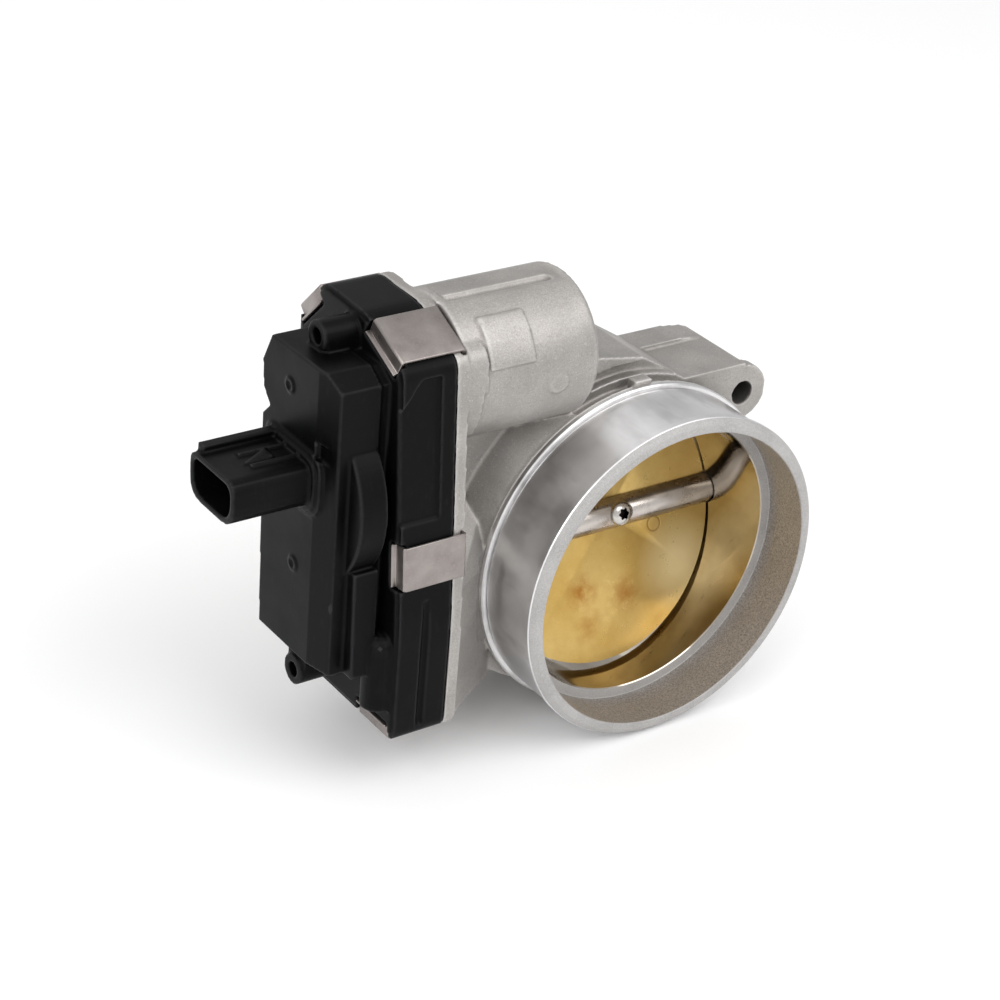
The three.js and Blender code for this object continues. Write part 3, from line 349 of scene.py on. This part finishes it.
def plain_metal(name, dark, light, rough, metallic=1.0, grain=0.7):
    """Machined, drawn or plated metal with a fine lengthwise grain."""
    look = Look(name, Metallic=metallic)
    haze = look.noise(5 * MM, detail=3)
    lines = look.noise(grain * MM, detail=3, stretch=(0.15, 1, 1))
    color = look.mix(look.spread(haze, 0.3, 0.7), dark, light)
    color = look.mix(look.spread(lines, 0.55, 0.8, 0.0, 0.4), color, dark)
    low, high = rough
    return look.finish(color, look.spread(haze, 0.3, 0.7, low, high), look.bump(lines, 0.15, 0.02 * MM))


def plain_dull(name, dark, light, rough, grain=0.6, coat=0.0):
    """Moulded, sintered or coated stuff with a fine even grain."""
    look = Look(name, Coat_Weight=coat)
    cloud = look.noise(6 * MM, detail=3)
    fine = look.noise(grain * MM, detail=3, roughness=0.7)
    color = look.mix(look.spread(cloud, 0.3, 0.7), dark, light)
    color = look.mix(look.spread(fine, 0.6, 0.8, 0.0, 0.3), color, light)
    low, high = rough
    return look.finish(color, look.spread(fine, 0.3, 0.7, low, high), look.bump(fine, 0.25, 0.03 * MM))


openings = {hole["name"]: hole["box_m"] for hole in frame["record"]["physics"]["openings"]}
bolt_holes = [
    (Vector(openings[name][0]) + Vector(openings[name][1])) / 2
    for name in ("upper_bolt_hole", "lower_bolt_hole")
]
plate_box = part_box("throttle_plate")
shaft_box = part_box("throttle_shaft")
shaft_centre = (shaft_box[0] + shaft_box[1]) / 2

looks = {
    "cast_aluminium": cast_aluminium(bolt_holes),
    "black_plastic": black_plastic(),
    "spring_steel": plated_strip(),
    "shaft_steel": plain_metal(
        "shaft_steel", rgb(186, 178, 171), rgb(210, 204, 198), (0.24, 0.34), grain=1.6
    ),
    "brass_plate": golden_brass(*plate_box),
    "zinc_steel": plain_metal("zinc_steel", rgb(176, 172, 166), rgb(212, 209, 204), (0.16, 0.3)),
    "tinned_copper": plain_metal("tinned_copper", rgb(190, 182, 166), rgb(224, 217, 203), (0.2, 0.35)),
    "gear_plastic": plain_dull("gear_plastic", rgb(206, 198, 174), rgb(226, 220, 200), (0.42, 0.58)),
    "rubber": plain_dull("rubber", rgb(22, 22, 24), rgb(40, 40, 42), (0.6, 0.8)),
    "circuit_board": plain_dull(
        "circuit_board", rgb(18, 74, 44), rgb(30, 98, 60), (0.3, 0.4), coat=0.4
    ),
    "ferrite": plain_dull("ferrite", rgb(44, 44, 47), rgb(70, 70, 73), (0.55, 0.75)),
    "spring_wire": plain_metal("spring_wire", rgb(120, 118, 114), rgb(160, 158, 154), (0.24, 0.36)),
    "bronze": plain_metal("bronze", rgb(150, 108, 58), rgb(186, 142, 84), (0.3, 0.42)),
}
turned = turned_aluminium()
faced = faced_aluminium()
counterbore = blasted_counterbore()
bore_finish = polished_bore()
socket_shade = plain_metal("socket_shade", rgb(30, 28, 27), rgb(58, 55, 52), (0.4, 0.5))


# ---------------------------------------------------------------- mesh helpers
def add_object(name, mesh):
    made = bpy.data.objects.new(name, mesh)
    bpy.context.scene.collection.objects.link(made)
    return made


def copy_of(node, name):
    """A new object with the CAD node's mesh, its doubled corners merged."""
    made = add_object(name, frame["nodes"][node].data.copy())
    made.data.materials.clear()
    work = bmesh.new()
    work.from_mesh(made.data)
    bmesh.ops.remove_doubles(work, verts=work.verts, dist=0.002 * MM)
    work.to_mesh(made.data)
    work.free()
    return made


def modifier(piece, kind, **settings):
    made = piece.modifiers.new(kind.lower(), kind)
    for setting, value in settings.items():
        setattr(made, setting, value)
    return made


def apply_modifiers(piece):
    """Replaces the piece's mesh with what its modifiers make of it."""
    bpy.context.view_layer.update()
    graph = bpy.context.evaluated_depsgraph_get()
    fresh = bpy.data.meshes.new_from_object(piece.evaluated_get(graph))
    piece.modifiers.clear()
    piece.data = fresh


def take_away(piece, *cutters):
    """Cuts each cutter out of the piece, and removes the cutter."""
    for cutter in cutters:
        modifier(piece, "BOOLEAN", operation="DIFFERENCE", solver="EXACT", object=cutter)
        apply_modifiers(piece)
        bpy.data.objects.remove(cutter)


def shade(piece, angle=32.0):
    piece.data.shade_smooth()
    piece.data.set_sharp_from_angle(angle=math.radians(angle))


def thin_to(piece, faces):
    """Collapses the mesh to about that many triangles."""
    triangles = sum(len(p.vertices) - 2 for p in piece.data.polygons)
    if triangles > faces:
        modifier(piece, "DECIMATE", ratio=faces / triangles)
        apply_modifiers(piece)


def cast(piece, voxel, softening, faces):
    """Gives every edge of a solid the small radius of a casting or moulding."""
    modifier(piece, "REMESH", mode="VOXEL", voxel_size=voxel, adaptivity=0.0)
    modifier(piece, "SMOOTH", factor=0.5, iterations=softening)
    apply_modifiers(piece)
    thin_to(piece, faces)
    piece.data.shade_smooth()
    return piece


def bevelled(piece, width, segments=2, angle=28.0):
    """Merges flat faces and rounds the sharp edges by the width."""
    work = bmesh.new()
    work.from_mesh(piece.data)
    bmesh.ops.dissolve_limit(
        work, angle_limit=math.radians(1), verts=work.verts, edges=work.edges, use_dissolve_boundaries=False
    )
    work.to_mesh(piece.data)
    work.free()
    modifier(piece, "BEVEL", width=width, segments=segments, limit_method="ANGLE",
             angle_limit=math.radians(angle), use_clamp_overlap=True)
    modifier(piece, "WEIGHTED_NORMAL", keep_sharp=True)
    apply_modifiers(piece)
    shade(piece, 40)
    return piece


def lathe(name, profile, sides=192):
    """Closed body of revolution about the bore axis from (radius, y) points in millimetres."""
    work = bmesh.new()
    loops = []
    for k in range(sides):
        turn = 2 * math.pi * k / sides
        loops.append([
            work.verts.new((r * MM * math.cos(turn), y * MM, r * MM * math.sin(turn))) for r, y in profile
        ])
    for k, loop in enumerate(loops):
        after = loops[(k + 1) % sides]
        for i in range(len(profile)):
            j = (i + 1) % len(profile)
            work.faces.new((loop[i], loop[j], after[j], after[i]))
    bmesh.ops.recalc_face_normals(work, faces=work.faces)
    mesh = bpy.data.meshes.new(name)
    work.to_mesh(mesh)
    work.free()
    return add_object(name, mesh)


def bar(name, radius, start, end, sides=64):
    """Plain cylinder between two points, used only to cut with."""
    work = bmesh.new()
    along = end - start
    turn = along.to_track_quat("Z", "Y").to_matrix().to_4x4()
    bmesh.ops.create_cone(
        work, cap_ends=True, segments=sides, radius1=radius, radius2=radius, depth=along.length,
        matrix=Matrix.Translation((start + end) / 2) @ turn,
    )
    mesh = bpy.data.meshes.new(name)
    work.to_mesh(mesh)
    work.free()
    return add_object(name, mesh)


def place(piece, node, *stands_for, look=None):
    """Paints the piece, ties it to its node's body and lets it stand for the node."""
    if look is not None:
        piece.data.materials.clear()
        piece.data.materials.append(look)
    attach(piece, bodies[node])
    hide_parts(node, *stands_for)
    return piece


# ---------------------------------------------------------------- throttle housing
# How finely the casting and the cover are remeshed, and how much their edges are rounded.
CASTING_VOXEL = 0.5 * MM
COVER_VOXEL = 0.42 * MM
CAST_SOFTENING = 3
CAST_FACES = 190_000

# Radii and places along the bore, in millimetres.
RIM_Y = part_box("throttle_housing")[0].y / MM
BORE_R = plate_box[1].x / MM + 0.4
COUNTERBORE_R = BORE_R + 3.3
TUBE_R = BORE_R + 6.8
RIM_R = TUBE_R + 0.7
RING_R = RIM_R + 0.6
LEDGE_Y = RIM_Y + 15
RING_Y = RIM_Y + 24.8
SLEEVE_WALL = 1.3
SLEEVE_BACK_Y = -0.4
SHAFT_HOLE_R = 5.3
TURNED, FACED, BLASTED, POLISHED = range(4)


def turned_profile():
    """The machined surfaces in one loop: rim, tube, base ring, then the bore back to the rim."""
    outer = [
        (COUNTERBORE_R + 0.25, RIM_Y),
        (RIM_R - 1.9, RIM_Y),
        (RIM_R - 1.6, RIM_Y + 0.12),
        (RIM_R - 0.2, RIM_Y + 1.5),
        (RIM_R, RIM_Y + 1.9),
        (RIM_R, RIM_Y + 3.6),
        (RIM_R - 0.25, RIM_Y + 3.9),
        (TUBE_R, RIM_Y + 4.3),
        (TUBE_R, RING_Y - 2.1),
        (TUBE_R - 0.35, RING_Y - 1.9),
        (TUBE_R - 0.35, RING_Y - 1.5),
        (RING_R - 0.5, RING_Y - 1.3),
        (RING_R - 0.1, RING_Y - 0.9),
        (RING_R, RING_Y - 0.4),
        (RING_R, RING_Y + 0.2),
        (RING_R - 0.5, RING_Y + 0.6),
        (BORE_R + SLEEVE_WALL + 2, RING_Y + 0.7),
        (BORE_R + SLEEVE_WALL, RING_Y + 1.7),
        (BORE_R + SLEEVE_WALL, SLEEVE_BACK_Y),
    ]
    inner = [
        (BORE_R + 0.3, SLEEVE_BACK_Y),
        (BORE_R, SLEEVE_BACK_Y - 0.3),
        (BORE_R, LEDGE_Y + 0.3),
        (BORE_R + 0.3, LEDGE_Y),
        (COUNTERBORE_R - 0.15, LEDGE_Y),
        (COUNTERBORE_R, LEDGE_Y - 0.15),
        (COUNTERBORE_R, RIM_Y + 0.3),
    ]
    return outer + inner


def turned_inlet():
    """Inlet tube, rim, counterbore and bore, with a finish for each turned surface."""
    piece = lathe("housing_turned_bore", turned_profile())
    reach = Vector((70 * MM, 0, 0))
    hole = bar("shaft_hole", SHAFT_HOLE_R * MM, shaft_centre - reach, shaft_centre + reach)
    hole.location.x = 0
    take_away(piece, hole)
    for look in (turned, faced, counterbore, bore_finish):
        piece.data.materials.append(look)
    for face in piece.data.polygons:
        x, y, z = face.center / MM
        radius = math.hypot(x, z)
        on_rim = y < RIM_Y + 1.4 and radius < RIM_R - 0.15
        on_ledge = y < LEDGE_Y + 0.1 and radius < COUNTERBORE_R - 0.02
        if on_rim or on_ledge:
            face.material_index = FACED
        elif abs(radius - COUNTERBORE_R) < 0.1 and y < LEDGE_Y:
            face.material_index = BLASTED
        elif radius < BORE_R + 0.2:
            face.material_index = POLISHED
        else:
            face.material_index = TURNED
    shade(piece, 24)
    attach(piece, bodies["throttle_housing"])
    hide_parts("throttle_housing")


def casting():
    """The cast part of the housing, without the stretch that the lathe has cleaned up."""
    piece = copy_of("throttle_housing", "housing_casting")
    skin = 0.02  # lets the casting reach just into the lathed sleeve
    turned_stretch = lathe("front_cut", [
        (COUNTERBORE_R - 8, RIM_Y - 2),
        (RIM_R + 4, RIM_Y - 2),
        (RIM_R + 4, RING_Y - 1.3),
        (RING_R - 0.6, RING_Y + 0.5),
        (BORE_R + SLEEVE_WALL + 2, RING_Y + 0.6),
        (BORE_R + SLEEVE_WALL - skin, RING_Y + 1.7),
        (BORE_R + SLEEVE_WALL - skin, 2),
        (BORE_R - 6, 2),
    ], sides=128)
    take_away(piece, turned_stretch)
    cast(piece, CASTING_VOXEL, CAST_SOFTENING, CAST_FACES)
    return place(piece, "throttle_housing", look=looks["cast_aluminium"])


turned_inlet()
casting()


# ---------------------------------------------------------------- gear cover
cover_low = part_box("gear_cover")[0]
BLOCK_DEPTH = 25  # from the connector's mouth back to the block's face
MOULD_MARKS = [(-17, 66), (-22, 14)]  # y, z of the two rings on the block


def moulded_ring(y, z, radius=1.7, width=0.8):
    """Small raised ring on the flat face of the cover's block."""
    inner, outer = radius - width / 2, radius + width / 2
    piece = lathe("ring", [(inner, 0), (outer, 0), (outer, 1), (inner, 1)], sides=32)
    block_x = cover_low.x + BLOCK_DEPTH * MM
    spot = Matrix.Translation((block_x - 0.5 * MM, y * MM, z * MM))
    piece.data.transform(spot @ Matrix.Rotation(math.radians(-90), 4, "Z"))
    return piece


def cover():
    """The moulded cover with its two mould marks."""
    piece = copy_of("gear_cover", "gear_cover_moulding")
    work = bmesh.new()
    work.from_mesh(piece.data)
    for y, z in MOULD_MARKS:
        ring = moulded_ring(y, z)
        work.from_mesh(ring.data)
        bpy.data.objects.remove(ring)
    work.to_mesh(piece.data)
    work.free()
    cast(piece, COVER_VOXEL, CAST_SOFTENING, CAST_FACES)
    return place(piece, "gear_cover", look=looks["black_plastic"])


cover()


# ---------------------------------------------------------------- plate screws
# Millimetres. Seat and end are measured from the shaft's centre line, along the screw.
SCREW_HEAD_R = 3.9
SCREW_HEAD_HEIGHT = 2.3
SCREW_HEAD_EDGE = 0.45
SCREW_SHANK_R = 1.9
SCREW_SEAT = 4.1
SCREW_END = 4.5
AXIS_GAP = 0.002  # keeps a lathed end just off the axis
SOCKET_R = 1.9
SOCKET_BOTTOM = 0.5  # above the seat
SOCKET_SIDES = 72


def six_lobes(radius, depth_low, depth_high):
    """Prism with the outline of a six-lobed key, standing on the Y axis."""
    work = bmesh.new()
    outline = []
    for k in range(SOCKET_SIDES):
        turn = 2 * math.pi * k / SOCKET_SIDES
        reach = radius * (1 + 0.15 * math.cos(6 * turn)) / 1.15
        outline.append((reach * math.cos(turn), reach * math.sin(turn)))
    front = [work.verts.new((x * MM, depth_low * MM, z * MM)) for x, z in outline]
    rear = [work.verts.new((x * MM, depth_high * MM, z * MM)) for x, z in outline]
    work.faces.new(front)
    work.faces.new(list(reversed(rear)))
    for k in range(SOCKET_SIDES):
        after = (k + 1) % SOCKET_SIDES
        work.faces.new((front[k], rear[k], rear[after], front[after]))
    bmesh.ops.recalc_face_normals(work, faces=work.faces)
    mesh = bpy.data.meshes.new("six_lobes")
    work.to_mesh(mesh)
    work.free()
    return add_object("six_lobes", mesh)


def plate_screw(node):
    """Domed screw with a six-lobed socket, square to the plate."""
    steps = 8
    dome_base = -SCREW_SEAT - SCREW_HEAD_EDGE
    dome_height = SCREW_HEAD_HEIGHT - SCREW_HEAD_EDGE
    dome = []
    for k in range(steps + 1):
        turn = math.radians(86) * k / steps
        dome.append((SCREW_HEAD_R * math.cos(turn) + 0.001, dome_base - dome_height * math.sin(turn)))
    profile = [
        (AXIS_GAP, dome[-1][1] - 0.02),
        *reversed(dome),
        (SCREW_HEAD_R - 0.15, -SCREW_SEAT),
        (SCREW_SHANK_R + 0.2, -SCREW_SEAT),
        (SCREW_SHANK_R, -SCREW_SEAT + 0.3),
        (SCREW_SHANK_R, SCREW_END - 0.5),
        (SCREW_SHANK_R - 0.5, SCREW_END),
        (AXIS_GAP, SCREW_END),
    ]
    piece = lathe(node + "_fine", profile, sides=64)
    take_away(piece, six_lobes(SOCKET_R, -SCREW_SEAT - 5, -SCREW_SEAT - SOCKET_BOTTOM))
    piece.data.materials.append(looks[slots[node]])
    piece.data.materials.append(socket_shade)
    for face in piece.data.polygons:
        x, y, z = face.center / MM
        inside = math.hypot(x, z) < SOCKET_R and -SCREW_SEAT - 1.8 < y < -SCREW_SEAT - 0.4
        face.material_index = 1 if inside else 0
    low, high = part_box(node)
    spot = Matrix.Translation(((low.x + high.x) / 2, shaft_centre.y, shaft_centre.z))
    piece.data.transform(spot @ Matrix.Rotation(-REST_TILT, 4, "X"))
    shade(piece, 35)
    return place(piece, node)


plate_screws = [node for node in frame["nodes"] if node.startswith("plate_screw")]
for node in plate_screws:
    plate_screw(node)


# ---------------------------------------------------------------- everything else
# Edge roundings in millimetres, by how a node's name starts.
BEVELS = {
    "cover_clip": 0.28,
    "throttle_plate": 0.25,
    "throttle_shaft": 0.25,
}
PLAIN_BEVEL = 0.12
done = {"throttle_housing", "gear_cover", *plate_screws}

for node in frame["nodes"]:
    if node in done:
        continue
    width = next((w for start, w in BEVELS.items() if node.startswith(start)), PLAIN_BEVEL)
    piece = copy_of(node, node + "_fine")
    bevelled(piece, width * MM)
    place(piece, node, look=looks[slots[node]])


# ---------------------------------------------------------------- studio
FLOOR_REACH = 6.0
SKY_GREYS = [(0.0, 0.72), (0.35, 0.56), (1.0, 0.9)]  # height from the horizon up, and its grey
SKY_FRONT, SKY_BACK = 1.3, 0.8  # strength on the inlet's side and on the manifold's
LAMPS = [  # name, watts, size, place
    ("key", 5.5, (1.0, 0.7), (0.3, -0.75, 0.85)),
    ("left", 3.5, (0.7, 0.7), (-0.9, -0.35, 0.6)),
    ("back", 1.3, (1.2, 0.5), (-0.1, 0.9, 0.7)),
]
LENS = 89.13
CAMERA_PLACE = (-0.411427, -0.518796, 0.358429)
CAMERA_RIGHT = Vector((0.82038909, -0.56665505, 0.07657539))
CAMERA_UP = Vector((0.21931351, 0.43549898, 0.87306484))


def area_light(name, power, size, where, target):
    data = bpy.data.lights.new(name, "AREA")
    data.energy = power
    data.shape = "RECTANGLE"
    data.size, data.size_y = size
    made = bpy.data.objects.new(name, data)
    bpy.context.scene.collection.objects.link(made)
    made.location = where
    made.rotation_euler = (Vector(target) - Vector(where)).to_track_quat("-Z", "Y").to_euler()


def studio():
    """Pale floor, a soft grey sky and three lamps."""
    low, high = cad_box
    middle = (Vector(low) + Vector(high)) / 2
    mesh = bpy.data.meshes.new("studio_floor")
    corners = [(-1, -1), (1, -1), (1, 1), (-1, 1)]
    mesh.from_pydata([(x * FLOOR_REACH, y * FLOOR_REACH, low[2]) for x, y in corners], [], [(0, 1, 2, 3)])
    floor = add_object("studio_floor", mesh)
    paper = Look("studio_paper")
    tone = paper.noise(0.4)
    mesh.materials.append(paper.finish(paper.mix(tone, (0.93, 0.93, 0.93, 1), (0.95, 0.95, 0.95, 1)), 0.9))

    world = bpy.data.worlds.new("studio")
    bpy.context.scene.world = world
    world.use_nodes = True
    tree = world.node_tree
    sky = tree.nodes["Background"]
    coords = tree.nodes.new("ShaderNodeTexCoord")
    split = tree.nodes.new("ShaderNodeSeparateXYZ")
    fade = tree.nodes.new("ShaderNodeValToRGB")
    for position, grey in SKY_GREYS:
        stop = fade.color_ramp.elements[0] if position == 0 else fade.color_ramp.elements.new(position)
        stop.color = (grey, grey, grey * 1.01, 1)
    fade.color_ramp.elements.remove(fade.color_ramp.elements[-1])
    front = tree.nodes.new("ShaderNodeMapRange")
    limits = {"From Min": -0.8, "From Max": 0.8, "To Min": SKY_FRONT, "To Max": SKY_BACK}
    for socket, value in limits.items():
        front.inputs[socket].default_value = value
    tree.links.new(coords.outputs["Generated"], split.inputs[0])
    tree.links.new(split.outputs["Z"], fade.inputs["Fac"])
    tree.links.new(split.outputs["Y"], front.inputs["Value"])
    tree.links.new(fade.outputs["Color"], sky.inputs["Color"])
    tree.links.new(front.outputs["Result"], sky.inputs["Strength"])

    for name, power, size, where in LAMPS:
        area_light(name, power, size, where, middle)


def camera():
    """Looks from the inlet side, left of the bore and above it."""
    data = bpy.data.cameras.new("camera")
    data.lens = LENS
    data.sensor_width = 36
    made = bpy.data.objects.new("camera", data)
    bpy.context.scene.collection.objects.link(made)
    back = CAMERA_RIGHT.cross(CAMERA_UP)
    turn = Matrix((CAMERA_RIGHT, CAMERA_UP, back)).transposed().to_4x4()
    made.matrix_world = Matrix.Translation(CAMERA_PLACE) @ turn
    bpy.context.scene.camera = made


studio()
camera()
bpy.context.scene.view_settings.view_transform = "Standard"
